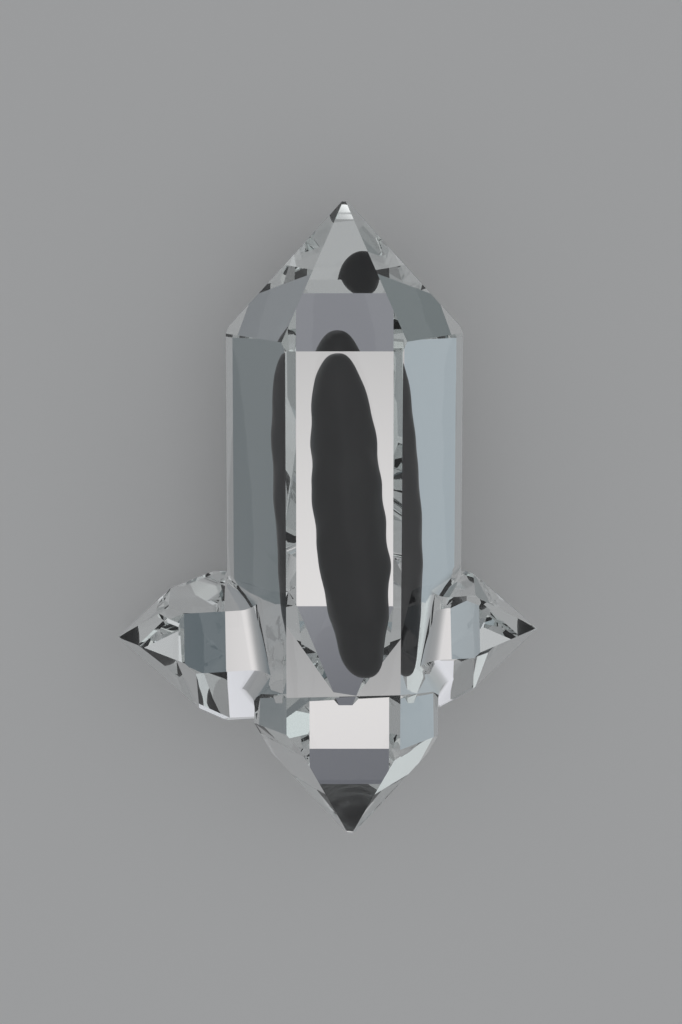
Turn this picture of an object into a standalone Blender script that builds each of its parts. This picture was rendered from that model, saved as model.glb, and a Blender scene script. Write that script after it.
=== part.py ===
"""A doubly terminated quartz crystal with a smaller one grown across it.

The crystal lies on one of its prism faces. X runs along the smaller crystal,
Y along the main one, Z is up, and the origin is under the middle of the object
on the surface that it lies on. A black core is sealed in the clear quartz, so
the quartz is parted level with the core's middle, and each half holds half of
the pocket around it.
"""
import math

import bmesh
import bpy
from mathutils import Matrix, Vector, noise

MM = 0.001

# Quartz has six prism faces, 60 degrees apart, and six pyramid faces at each
# tip, whose normals lean this far from the prism face's towards the tip.
PYRAMID_LEAN = math.radians(38.2)

# Main crystal, upright axis along +Y, front face up. For each face, in mm: the
# azimuth from the front, the distance from the axis at the lower and at the
# upper shoulder, and how far along the axis its lower and its upper pyramid
# face would meet it.
MAIN_AXIS_X = 1.06
MAIN_AXIS_Z = 8.84
MAIN_SHOULDERS = (-16.0, 13.4)
MAIN_FACES = (
    (0, 8.69, 8.69, 27.49, 25.00),
    (60, 8.25, 8.38, 27.03, 25.29),
    (120, 8.00, 8.00, 24.52, 25.29),
    (180, 8.84, 8.84, 22.52, 24.95),
    (240, 7.49, 7.49, 22.99, 24.66),
    (300, 7.94, 7.97, 25.48, 24.72),
)

# Both tips are blunt: how far along the axis each is broken off, and the
# direction that the break faces.
TIP_BREAKS = (
    (24.80, (0.06, 1.00, 0.12)),
    (24.68, (-0.10, -1.00, 0.08)),
)

# The upper section ends behind in pyramid faces of its own, and the lower one
# is set back from it: the azimuth, how far down the axis the upper section's
# face would meet it, and the distance of the lower section's prism face.
STEP_FACES = (
    (120, 17.60, 4.84),
    (180, 18.60, 3.13),
    (240, 16.80, 3.71),
)

# Small crystal that crosses the main one. Its faces have the same values, with
# the left tip first.
CROSSING_CENTRE = (0.0, -8.84, 9.94)
CROSSING_TILT = math.radians(1.22)
CROSSING_ROLL = math.radians(15.0)
CROSSING_SHOULDERS = (-10.7, 10.8)
CROSSING_FACES = (
    (0, 4.23, 3.65, 16.38, 16.38),
    (60, 4.98, 4.01, 16.42, 16.36),
    (120, 6.60, 5.99, 16.36, 16.40),
    (180, 6.80, 5.36, 16.48, 16.44),
    (240, 5.92, 4.30, 16.38, 16.34),
    (300, 3.30, 3.83, 16.40, 16.42),
)

# Growth fillet where the small crystal's front comes out of the main one.
FILLET_WIDTH = 1.15 * MM
FILLET_SEGMENTS = 3
FILLET_LOWEST = 9.0 * MM
FILLET_LEAST_TURN = math.radians(25.0)

# Etch pits on the small crystal's upper front face: where each one lies along
# X, how far down the face from the front edge, and its width along X and its
# length down the face, in mm.
PIT_AZIMUTH = 300
PIT_DEPTH = 0.14 * MM
PITS = (
    (-10.1, 3.4, 0.30, 0.8),
    (-10.0, 1.6, 0.26, 0.7),
    (-9.4, 2.2, 0.30, 1.0),
    (-8.2, 3.3, 0.32, 0.8),
    (10.8, 1.6, 0.45, 0.8),
)

# Black core, a lumpy spindle along Y. At each station, in mm: how far along Y
# it is, where the core's left and right sides are along X, and where its lower
# and upper sides are along Z.
CORE_STATIONS = (
    (-11.8, 2.10, 2.30, 9.8, 10.0),
    (-10.4, 1.20, 3.20, 8.8, 11.0),
    (-7.2, 0.50, 4.35, 7.9, 12.0),
    (-4.6, -0.95, 4.40, 7.5, 12.4),
    (-1.8, -1.45, 4.40, 7.4, 12.6),
    (2.0, -1.30, 4.30, 7.4, 12.6),
    (5.8, -1.05, 3.75, 7.4, 12.5),
    (9.6, -0.70, 3.40, 7.6, 12.1),
    (11.8, 0.10, 2.70, 8.6, 11.2),
    (12.9, 1.30, 1.60, 9.8, 10.1),
)
CORE_LUMP = 0.35 * MM
CORE_LUMP_SPACING = 2.6 * MM
CORE_SIDES = 14
CORE_RINGS = 30

POCKET_CLEARANCE = 0.35 * MM
SPLIT_HEIGHT = 10.0 * MM
SPLIT_GAP = 0.3 * MM

BLOCK_SIZE = 90.0 * MM
CUT_TOLERANCE = 1e-7


def remove_old_objects():
    for old in list(bpy.data.objects):
        bpy.data.objects.remove(old, do_unlink=True)


def make_collection(name):
    collection = bpy.data.collections.new(name)
    bpy.context.scene.collection.children.link(collection)
    return collection


def make_material(name, colour, roughness, transmission=0.0, ior=1.5):
    material = bpy.data.materials.new(name)
    material.use_nodes = True
    shader = material.node_tree.nodes["Principled BSDF"]
    shader.inputs["Base Color"].default_value = (*colour, 1.0)
    shader.inputs["Roughness"].default_value = roughness
    shader.inputs["Metallic"].default_value = 0.0
    shader.inputs["Transmission Weight"].default_value = transmission
    shader.inputs["IOR"].default_value = ior
    material.diffuse_color = (*colour, 1.0)
    return material


def add_object(name, bm, collection):
    mesh = bpy.data.meshes.new(name)
    bm.to_mesh(mesh)
    bm.free()
    solid = bpy.data.objects.new(name, mesh)
    collection.objects.link(solid)
    return solid


def add_cutter(name, bm, collection):
    cutter = add_object(name, bm, collection)
    cutter.hide_render = True
    cutter.display_type = "WIRE"
    return cutter


def add_boolean(target, other, operation):
    modifier = target.modifiers.new(other.name, "BOOLEAN")
    modifier.operation = operation
    modifier.solver = "EXACT"
    modifier.object = other


def main_frame():
    """A point on the main crystal's axis, its axis and its front direction."""
    centre = Vector((MAIN_AXIS_X, 0.0, MAIN_AXIS_Z)) * MM
    return centre, Vector((0.0, 1.0, 0.0)), Vector((0.0, 0.0, 1.0))


def crossing_frame():
    """The same for the small crystal, which is rolled about its own axis."""
    axis = Vector((math.cos(CROSSING_TILT), math.sin(CROSSING_TILT), 0.0))
    leaning = Vector((0.0, math.sin(CROSSING_ROLL), math.cos(CROSSING_ROLL)))
    front = (leaning - axis * leaning.dot(axis)).normalized()
    return Vector(CROSSING_CENTRE) * MM, axis, front


def outward_at(azimuth, axis, front):
    turn = math.radians(azimuth)
    return front * math.cos(turn) + axis.cross(front) * math.sin(turn)


def pyramid_plane(centre, towards_tip, outward, tip):
    normal = outward * math.cos(PYRAMID_LEAN) + towards_tip * math.sin(PYRAMID_LEAN)
    return normal, centre + towards_tip * (tip * MM)


def crystal_planes(frame, shoulders, faces):
    """Each face of a crystal as its outward normal and a point on it."""
    centre, axis, front = frame
    planes = []
    for azimuth, at_tail, at_head, tail_tip, head_tip in faces:
        outward = outward_at(azimuth, axis, front)
        taper = (at_tail - at_head) / (shoulders[1] - shoulders[0])
        on_face = centre + (outward * at_head + axis * shoulders[1]) * MM
        planes.append(((outward + axis * taper).normalized(), on_face))
        planes.append(pyramid_plane(centre, -axis, outward, tail_tip))
        planes.append(pyramid_plane(centre, axis, outward, head_tip))
    return planes


def tip_break_planes():
    centre, axis, _ = main_frame()
    planes = []
    for distance, facing in TIP_BREAKS:
        normal = Vector(facing).normalized()
        along = axis if normal.dot(axis) > 0.0 else -axis
        planes.append((normal, centre + along * (distance * MM)))
    return planes


def cut_block(planes):
    """A block cut down to the solid that all the planes enclose."""
    bm = bmesh.new()
    bmesh.ops.create_cube(bm, size=BLOCK_SIZE)
    for normal, on_plane in planes:
        cut = bmesh.ops.bisect_plane(
            bm, geom=bm.verts[:] + bm.edges[:] + bm.faces[:], dist=CUT_TOLERANCE,
            plane_co=on_plane, plane_no=normal, clear_outer=True)
        rim = [item for item in cut["geom_cut"] if isinstance(item, bmesh.types.BMEdge)]
        if rim:
            bmesh.ops.contextual_create(bm, geom=rim)
    bmesh.ops.recalc_face_normals(bm, faces=bm.faces)
    return bm


def step_envelope(cutters):
    """What keeps the upper section whole and sets the lower one back."""
    centre, axis, front = main_frame()
    upper_planes = []
    lower_planes = []
    for azimuth, step_tip, set_back in STEP_FACES:
        outward = outward_at(azimuth, axis, front)
        upper_planes.append(pyramid_plane(centre, -axis, outward, step_tip))
        lower_planes.append((outward, centre + outward * (set_back * MM)))
    upper = add_cutter("upper_section_envelope", cut_block(upper_planes), cutters)
    lower = add_cutter("lower_section_envelope", cut_block(lower_planes), cutters)
    add_boolean(upper, lower, "UNION")
    return upper


def etch_pits(cutters):
    """Flat lens shapes that sink into the small crystal's upper front face."""
    centre, axis, front = crossing_frame()
    faces = {face[0]: face for face in CROSSING_FACES}
    normal, on_face = crystal_planes(
        crossing_frame(), CROSSING_SHOULDERS, [faces[PIT_AZIMUTH]])[0]
    front_normal, on_front = crystal_planes(
        crossing_frame(), CROSSING_SHOULDERS, [faces[0]])[0]
    along = normal.cross(front_normal).normalized()
    if along.dot(axis) < 0.0:
        along = -along
    down_face = along.cross(normal)
    if down_face.dot(front_normal) > 0.0:
        down_face = -down_face
    edge_point = meeting_point((normal, on_face), (front_normal, on_front), (axis, centre))
    turn = Matrix((along, down_face, normal)).transposed().to_4x4()
    bm = bmesh.new()
    for x, down, width, length in PITS:
        place = edge_point + along * ((x * MM - edge_point.x) / along.x) + down_face * (down * MM)
        size = Matrix.Diagonal((width * MM / 2, length * MM / 2, PIT_DEPTH, 1.0))
        bmesh.ops.create_icosphere(
            bm, subdivisions=2, radius=1.0, matrix=Matrix.Translation(place) @ turn @ size)
    bmesh.ops.recalc_face_normals(bm, faces=bm.faces)
    return add_cutter("etch_pit_cutters", bm, cutters)


def meeting_point(*planes):
    rows = Matrix([normal for normal, _ in planes])
    offsets = Vector([normal.dot(on_plane) for normal, on_plane in planes])
    return rows.inverted() @ offsets


def evaluated_bmesh(solid):
    graph = bpy.context.evaluated_depsgraph_get()
    mesh = bpy.data.meshes.new_from_object(solid.evaluated_get(graph))
    bm = bmesh.new()
    bm.from_mesh(mesh)
    bpy.data.meshes.remove(mesh)
    return bm


def fillet_roots(bm):
    """Round the corner where the small crystal's front leaves the main one."""
    roots = [edge for edge in bm.edges
             if not edge.is_convex
             and edge.calc_face_angle() > FILLET_LEAST_TURN
             and min(vert.co.z for vert in edge.verts) > FILLET_LOWEST]
    bmesh.ops.bevel(
        bm, geom=roots, offset=FILLET_WIDTH, offset_type="OFFSET",
        segments=FILLET_SEGMENTS, profile=0.5, affect="EDGES",
        clamp_overlap=False, material=-1)


def make_whole_crystal(cutters):
    """The clear quartz in one piece, before it is parted."""
    grown = crystal_planes(main_frame(), MAIN_SHOULDERS, MAIN_FACES)
    whole = add_cutter("whole_crystal", cut_block(grown + tip_break_planes()), cutters)
    crossing = crystal_planes(crossing_frame(), CROSSING_SHOULDERS, CROSSING_FACES)
    add_boolean(whole, step_envelope(cutters), "INTERSECT")
    add_boolean(whole, add_cutter("crossing_crystal", cut_block(crossing), cutters), "UNION")
    bm = evaluated_bmesh(whole)
    fillet_roots(bm)
    whole.modifiers.clear()
    bm.to_mesh(whole.data)
    bm.free()
    add_boolean(whole, etch_pits(cutters), "DIFFERENCE")
    return whole


def core_section(y):
    """The core's sides at a place along Y, between the stations around it."""
    for below, above in zip(CORE_STATIONS, CORE_STATIONS[1:]):
        if y <= above[0]:
            break
    share = (y - below[0]) / (above[0] - below[0])
    return [low + (high - low) * share for low, high in zip(below[1:], above[1:])]


def core_bmesh(grow=0.0):
    """The core's spindle, swollen all round by the distance given."""
    bm = bmesh.new()
    bmesh.ops.create_uvsphere(bm, u_segments=CORE_SIDES, v_segments=CORE_RINGS, radius=1.0)
    lowest = CORE_STATIONS[0][0]
    highest = CORE_STATIONS[-1][0]
    for vert in bm.verts:
        along = vert.co.z
        around = Vector((vert.co.x, -vert.co.y))
        if around.length > 0.0:
            around.normalize()
        y = (lowest + highest) / 2.0 + (highest - lowest) / 2.0 * along
        left, right, under, over = core_section(y)
        middle = Vector((left + right, 2.0 * y, under + over)) / 2.0
        half_section = Vector(((right - left) / 2.0, 0.0, (over - under) / 2.0))
        spoke = Vector((around.x, 0.0, around.y))
        place = (middle + spoke * half_section) * MM
        lump = noise.noise(place / CORE_LUMP_SPACING) * CORE_LUMP * (1.0 - along * along)
        vert.co = place + spoke * (lump + grow) + Vector((0.0, along ** 3 * grow, 0.0))
    bmesh.ops.recalc_face_normals(bm, faces=bm.faces)
    return bm


def make_half(name, whole, facing, pocket, cutters, parts, material):
    """The part of the whole crystal on one side of the split, with its pocket."""
    half = add_object(name, evaluated_bmesh(whole), parts)
    on_split = Vector((0.0, 0.0, SPLIT_HEIGHT + facing * SPLIT_GAP / 2.0))
    side = cut_block([(Vector((0.0, 0.0, -facing)), on_split)])
    add_boolean(half, add_cutter(name + "_side", side, cutters), "INTERSECT")
    add_boolean(half, pocket, "DIFFERENCE")
    half.data.materials.clear()
    half.data.materials.append(material)
    return half


def main():
    remove_old_objects()
    parts = make_collection("quartz_crystal")
    cutters = make_collection("cutters")
    clear_quartz = make_material("clear_quartz", (0.90, 0.93, 0.93), 0.02, 1.0, 1.544)
    black_mineral = make_material("black_inclusion", (0.018, 0.018, 0.020), 0.38)

    whole = make_whole_crystal(cutters)
    pocket = add_cutter("core_pocket", core_bmesh(POCKET_CLEARANCE), cutters)
    make_half("crystal_front_half", whole, 1.0, pocket, cutters, parts, clear_quartz)
    make_half("crystal_back_half", whole, -1.0, pocket, cutters, parts, clear_quartz)
    core = add_object("black_core", core_bmesh(), parts)
    core.data.materials.append(black_mineral)


main()
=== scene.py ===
import math

import bmesh
import bpy
from mathutils import Matrix, Vector, noise


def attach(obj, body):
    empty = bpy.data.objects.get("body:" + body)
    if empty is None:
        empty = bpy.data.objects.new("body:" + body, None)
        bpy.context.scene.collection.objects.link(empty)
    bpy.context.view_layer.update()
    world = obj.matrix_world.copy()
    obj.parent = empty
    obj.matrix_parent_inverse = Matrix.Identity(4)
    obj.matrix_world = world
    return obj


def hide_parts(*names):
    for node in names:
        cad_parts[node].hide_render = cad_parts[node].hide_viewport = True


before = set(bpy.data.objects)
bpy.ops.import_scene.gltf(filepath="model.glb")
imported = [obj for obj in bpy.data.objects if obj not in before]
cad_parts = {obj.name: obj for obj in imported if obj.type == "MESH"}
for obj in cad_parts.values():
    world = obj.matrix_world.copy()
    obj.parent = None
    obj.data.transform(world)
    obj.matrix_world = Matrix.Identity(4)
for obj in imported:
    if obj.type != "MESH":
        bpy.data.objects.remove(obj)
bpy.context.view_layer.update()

mm = 0.001


# Shader maths

class Wire:
    # One output socket. Python's operators on it add Math nodes.
    def __init__(self, tree, socket=None):
        self.tree = tree
        self.socket = socket

    # Adds any other node: its settings come first, then what goes into its sockets.
    def node(self, kind, settings=None, sockets=None, output=0):
        made = self.tree.nodes.new(kind)
        for name, value in (settings or {}).items():
            setattr(made, name, value)
        for name, value in (sockets or {}).items():
            if isinstance(value, Wire):
                self.tree.links.new(value.socket, made.inputs[name])
            else:
                made.inputs[name].default_value = value
        return Wire(self.tree, made.outputs[output] if made.outputs else None)

    def maths(self, operation, *values):
        return self.node("ShaderNodeMath", {"operation": operation}, dict(enumerate(values)))

    def __sub__(self, other):
        return self.maths("SUBTRACT", self, other)

    def __rsub__(self, other):
        return self.maths("SUBTRACT", other, self)

    def __truediv__(self, other):
        return self.maths("DIVIDE", self, other)

    def __rtruediv__(self, other):
        return self.maths("DIVIDE", other, self)


# A new material, with these values on its Principled shader.
def newMaterial(name, values):
    material = bpy.data.materials.new(name)
    material.use_nodes = True
    shader = material.node_tree.nodes["Principled BSDF"]
    for socketName, value in values.items():
        shader.inputs[socketName].default_value = value
    return material


# Meshes

def meshFrom(bm, name, material=None, smoothAngle=None):
    mesh = bpy.data.meshes.new(name)
    bm.to_mesh(mesh)
    bm.free()
    piece = bpy.data.objects.new(name, mesh)
    bpy.context.scene.collection.objects.link(piece)
    if material is not None:
        mesh.materials.append(material)
    if smoothAngle is not None:
        mesh.shade_smooth()
        mesh.set_sharp_from_angle(angle=smoothAngle)
    return piece


# The solid that Boolean modifiers make of two bmeshes.
def combine(bm, other, operation):
    first = meshFrom(bm, "first")
    second = meshFrom(other, "second")
    modifier = first.modifiers.new("join", "BOOLEAN")
    modifier.operation = operation
    modifier.solver = "EXACT"
    modifier.object = second
    graph = bpy.context.evaluated_depsgraph_get()
    made = bpy.data.meshes.new_from_object(first.evaluated_get(graph))
    result = bmesh.new()
    result.from_mesh(made)
    for piece in (first, second):
        bpy.data.objects.remove(piece)
    return result


print("Clear crystal")

pyramidLean = math.radians(38.2)   # from a prism face's normal towards the tip
mainCrystal = {
    "centre": (1.06, 0.0, 8.84),
    "axis": (0.0, 1.0, 0.0),
    "front": (0.0, 0.0, 1.0),
    "shoulders": (-16.0, 13.4),
    # azimuth from the front, distance at the lower and the upper shoulder, and
    # how far along the axis the lower and the upper pyramid face would meet it
    "faces": (
        (0, 8.69, 8.69, 27.49, 25.00),
        (60, 8.25, 8.38, 27.03, 25.29),
        (120, 8.00, 8.00, 24.52, 25.29),
        (180, 8.84, 8.84, 22.52, 24.95),
        (240, 7.49, 7.49, 22.99, 24.66),
        (300, 7.94, 7.97, 25.48, 24.72),
    ),
    "tipBreaks": ((24.80, (0.06, 1.00, 0.12)), (24.68, (-0.10, -1.00, 0.08))),
    # the upper section's own lower pyramid behind, and the set-back lower prism
    "steps": ((120, 17.60, 4.84), (180, 18.60, 3.13), (240, 16.80, 3.71)),
}
crossingTilt = math.radians(1.22)
crossingRoll = math.radians(15.0)
crossingAxis = Vector((math.cos(crossingTilt), math.sin(crossingTilt), 0.0))
crossingLean = Vector((0.0, math.sin(crossingRoll), math.cos(crossingRoll)))
crossingCrystal = {
    "centre": (0.0, -8.84, 9.94),
    "axis": crossingAxis,
    "front": (crossingLean - crossingAxis * crossingLean.dot(crossingAxis)).normalized(),
    "shoulders": (-10.7, 10.8),
    "faces": (
        (0, 4.23, 3.65, 16.38, 16.38),
        (60, 4.98, 4.01, 16.42, 16.36),
        (120, 6.60, 5.99, 16.36, 16.40),
        (180, 6.80, 5.36, 16.48, 16.44),
        (240, 5.92, 4.30, 16.38, 16.34),
        (300, 3.30, 3.83, 16.40, 16.42),
    ),
}
cutting = {
    "blockSize": 90 * mm,       # well past the crystal on every side
    "mergeDistance": 1e-7,
}
# The rounded junction of the two crystals, on the front side only.
rootFillet = {
    "width": 1.15 * mm,
    "segments": 6,
    "lowest": 9.0 * mm,
    "leastTurn": math.radians(25.0),
}


def outwardAt(crystal, azimuth):
    axis = Vector(crystal["axis"])
    front = Vector(crystal["front"])
    turn = math.radians(azimuth)
    return front * math.cos(turn) + axis.cross(front) * math.sin(turn)


def pyramidPlane(centre, towardsTip, outward, tip):
    normal = outward * math.cos(pyramidLean) + towardsTip * math.sin(pyramidLean)
    return normal, centre + towardsTip * (tip * mm)


def crystalPlanes(crystal):
    centre = Vector(crystal["centre"]) * mm
    axis = Vector(crystal["axis"])
    tail, head = crystal["shoulders"]
    planes = []
    for azimuth, atTail, atHead, tailTip, headTip in crystal["faces"]:
        outward = outwardAt(crystal, azimuth)
        taper = (atTail - atHead) / (head - tail)
        onFace = centre + (outward * atHead + axis * head) * mm
        planes.append(((outward + axis * taper).normalized(), onFace))
        planes.append(pyramidPlane(centre, -axis, outward, tailTip))
        planes.append(pyramidPlane(centre, axis, outward, headTip))
    return planes


def cutBlock(planes):
    bm = bmesh.new()
    bmesh.ops.create_cube(bm, size=cutting["blockSize"])
    for normal, onPlane in planes:
        cut = bmesh.ops.bisect_plane(
            bm, geom=bm.verts[:] + bm.edges[:] + bm.faces[:],
            dist=cutting["mergeDistance"], plane_co=onPlane, plane_no=normal,
            clear_outer=True)
        rim = [item for item in cut["geom_cut"] if isinstance(item, bmesh.types.BMEdge)]
        if rim:
            bmesh.ops.contextual_create(bm, geom=rim)
    bmesh.ops.recalc_face_normals(bm, faces=bm.faces)
    return bm


def stepEnvelope():
    centre = Vector(mainCrystal["centre"]) * mm
    axis = Vector(mainCrystal["axis"])
    upper = []
    lower = []
    for azimuth, stepTip, setBack in mainCrystal["steps"]:
        outward = outwardAt(mainCrystal, azimuth)
        upper.append(pyramidPlane(centre, -axis, outward, stepTip))
        lower.append((outward, centre + outward * (setBack * mm)))
    return combine(cutBlock(upper), cutBlock(lower), "UNION")


def filletRoots(bm):
    roots = [edge for edge in bm.edges
             if not edge.is_convex
             and edge.calc_face_angle() > rootFillet["leastTurn"]
             and min(vert.co.z for vert in edge.verts) > rootFillet["lowest"]]
    bmesh.ops.bevel(
        bm, geom=roots, offset=rootFillet["width"], offset_type="OFFSET",
        segments=rootFillet["segments"], profile=0.5, affect="EDGES",
        clamp_overlap=False, material=-1)


def wholeCrystal():
    planes = crystalPlanes(mainCrystal)
    centre = Vector(mainCrystal["centre"]) * mm
    axis = Vector(mainCrystal["axis"])
    for distance, facing in mainCrystal["tipBreaks"]:
        normal = Vector(facing).normalized()
        along = axis if normal.dot(axis) > 0.0 else -axis
        planes.append((normal, centre + along * (distance * mm)))
    bm = combine(cutBlock(planes), stepEnvelope(), "INTERSECT")
    bm = combine(bm, cutBlock(crystalPlanes(crossingCrystal)), "UNION")
    filletRoots(bm)
    return bm


quartzFinish = {
    "ior": 1.544,
    "absorptionColour": (0.74, 0.79, 0.78, 1.0),
    "absorptionDensity": 10.0,
    "smoothAngle": math.radians(12.0),   # rounds the junction and leaves the faces flat
}
quartz = newMaterial("clearQuartz", {
    "Base Color": (1.0, 1.0, 1.0, 1.0),
    "Roughness": 0.0,
    "Transmission Weight": 1.0,
    "IOR": quartzFinish["ior"],
})
absorption = quartz.node_tree.nodes.new("ShaderNodeVolumeAbsorption")
absorption.inputs["Color"].default_value = quartzFinish["absorptionColour"]
absorption.inputs["Density"].default_value = quartzFinish["absorptionDensity"]
quartzOutput = quartz.node_tree.nodes["Material Output"]
quartz.node_tree.links.new(absorption.outputs[0], quartzOutput.inputs["Volume"])

clearCrystal = meshFrom(wholeCrystal(), "clearCrystal", quartz, quartzFinish["smoothAngle"])
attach(clearCrystal, "root")
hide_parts("crystal_front_half", "crystal_back_half")


print("Black core")

# A smooth lens along the main crystal, bent a little and with low lumps.
coreShape = {
    "centre": Vector((1.75, 0.8, 10.0)) * mm,
    "halfSize": Vector((2.75, 12.6, 2.6)) * mm,
    "bend": 1.1 * mm,
    "fullness": 0.75,
    "lump": 0.35 * mm,
    "lumpSpacing": 2.6 * mm,
    "sides": 96,
    "rings": 160,
    "smoothAngle": math.radians(35.0),
}


def coreMesh():
    bm = bmesh.new()
    bmesh.ops.create_uvsphere(
        bm, u_segments=coreShape["sides"], v_segments=coreShape["rings"], radius=1.0)
    half = coreShape["halfSize"]
    for vert in bm.verts:
        along = vert.co.z
        around = Vector((vert.co.x, -vert.co.y))
        if around.length > 0.0:
            around = around.normalized() * (1.0 - along * along) ** (coreShape["fullness"] / 2.0)
        place = Vector((around.x * half.x, along * half.y, around.y * half.z))
        lump = noise.noise(place / coreShape["lumpSpacing"]) * coreShape["lump"]
        swell = Vector((around.x, along ** 3, around.y)) * lump
        bend = Vector((-coreShape["bend"] * along, 0.0, 0.0))
        vert.co = coreShape["centre"] + place + swell + bend
    bmesh.ops.recalc_face_normals(bm, faces=bm.faces)
    return bm


blackMineral = newMaterial("blackMineral", {
    "Base Color": (0.012, 0.012, 0.014, 1.0),
    "Roughness": 0.4,
})
blackCore = meshFrom(coreMesh(), "blackCore", blackMineral, coreShape["smoothAngle"])
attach(blackCore, "root")
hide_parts("black_core")


print("Stage, light and camera")

stage = {
    "floorSize": 4.0,
    "floorHeight": -0.05 * mm,
    "floorColour": (0.80, 0.80, 0.80, 1.0),
}
floorMaterial = newMaterial("paleFloor", {
    "Base Color": stage["floorColour"],
    "Roughness": 0.9,
})
bm = bmesh.new()
bmesh.ops.create_grid(bm, x_segments=1, y_segments=1, size=stage["floorSize"] / 2,
                      matrix=Matrix.Translation((0.0, 0.0, stage["floorHeight"])))
floor = meshFrom(bm, "floor", floorMaterial)
floor.visible_transmission = False   # what is seen through the crystal is the soft light behind

# The soft light all round, by direction: a base, and patches that are brighter
# or darker than it. Each has its angle across from straight below (towards +X)
# and its angle up (towards +Y), its width, and its change in colour.
softLight = {
    "base": (0.29, 0.295, 0.30),
    "patches": (
        (0, -10.5, 5, (0.50, 0.47, 0.46)),
        (0, 12, 7, (-0.22, -0.22, -0.21)),
        (-10, 28, 9, (0.46, 0.46, 0.50)),
        (28, -8, 9, (-0.16, -0.14, -0.13)),
        (44, -6, 9, (-0.10, -0.09, -0.09)),
        (-41, -8, 10, (0.08, 0.13, 0.16)),
        (-41, -36, 12, (-0.15, -0.13, -0.13)),
        (41, -36, 12, (-0.09, -0.08, -0.07)),
        (-43, 22, 10, (0.25, 0.30, 0.30)),
        (180, -5, 45, (0.12, 0.12, 0.12)),
        (162, 11, 14, (0.35, 0.36, 0.37)),
        (-50, 41, 14, (0.32, 0.32, 0.31)),
        (0, -30, 9, (-0.06, -0.06, -0.04)),
    ),
    "seenDirectly": (0.62, 0.63, 0.65),
}


def makeWorld():
    world = bpy.data.worlds.new("softLight")
    bpy.context.scene.world = world
    world.use_nodes = True
    tree = world.node_tree
    tree.nodes.clear()
    wire = Wire(tree)
    direction = wire.node("ShaderNodeTexCoord")
    light = softLight["base"]
    for across, up, width, change in softLight["patches"]:
        across, up, width = (math.radians(angle) for angle in (across, up, width))
        towards = (math.sin(across) * math.cos(up), math.sin(up),
                   -math.cos(across) * math.cos(up))
        match = wire.node("ShaderNodeVectorMath", {"operation": "DOT_PRODUCT"},
                          {0: direction, 1: towards}, "Value")
        patch = wire.maths("EXPONENT", (match - 1.0) / width ** 2)
        light = wire.node("ShaderNodeVectorMath", {"operation": "MULTIPLY_ADD"},
                          {0: patch, 1: change, 2: light})
    light = wire.node("ShaderNodeVectorMath", {"operation": "MAXIMUM"},
                      {0: light, 1: (0.0, 0.0, 0.0)})
    seen = wire.node("ShaderNodeLightPath", output="Is Camera Ray")   # a plain backdrop
    light = wire.node("ShaderNodeMix", {"data_type": "RGBA"},
                      {"Factor": seen, 6: light, 7: (*softLight["seenDirectly"], 1.0)}, 2)
    background = wire.node("ShaderNodeBackground", None, {"Color": light})
    wire.node("ShaderNodeOutputWorld", None, {"Surface": background})


makeWorld()

# Spots from above light the floor round the crystal: where each one hangs and
# what it points at, in mm, its power, spread in degrees, size in mm and colour.
spots = (
    ("keyLight", (40, 60, 900), (5, -5, 0), 1.0, 7.0, 120, (1.0, 0.995, 0.99)),
)
for name, place, aim, power, spread, size, colour in spots:
    spotData = bpy.data.lights.new(name, "SPOT")
    spotData.energy = power
    spotData.spot_size = math.radians(spread)
    spotData.spot_blend = 1.0
    spotData.shadow_soft_size = size / 2 * mm
    spotData.color = colour
    spot = bpy.data.objects.new(name, spotData)
    bpy.context.scene.collection.objects.link(spot)
    spot.location = Vector(place) * mm
    spot.rotation_mode = "QUATERNION"
    spot.rotation_quaternion = (Vector(aim) - Vector(place)).to_track_quat("-Z", "Y")

view = {
    "target": Vector((1.06, 0.555, 8.84)) * mm,
    "distance": 250.2 * mm,
    "tilt": math.radians(8.15),
    "lens": 112.43,
    "sensor": 36.0,
    "nearest": 10 * mm,
}
cameraData = bpy.data.cameras.new("camera")
camera = bpy.data.objects.new("camera", cameraData)
bpy.context.scene.collection.objects.link(camera)
cameraData.lens = view["lens"]
cameraData.sensor_width = view["sensor"]
cameraData.clip_start = view["nearest"]
back = Vector((0.0, math.sin(view["tilt"]), math.cos(view["tilt"])))
up = Vector((0.0, math.cos(view["tilt"]), -math.sin(view["tilt"])))
right = up.cross(back)
turned = Matrix((right, up, back)).transposed().to_4x4()
camera.matrix_world = Matrix.Translation(view["target"] + back * view["distance"]) @ turned
bpy.context.scene.camera = camera

# Light crosses the crystal and turns back inside it many times.
bounces = {
    "max_bounces": 24,
    "transmission_bounces": 24,
    "glossy_bounces": 20,
    "transparent_max_bounces": 32,
}
scene = bpy.context.scene
scene.view_settings.view_transform = "Standard"
for name, most in bounces.items():
    setattr(scene.cycles, name, most)
scene.cycles.use_denoising = True
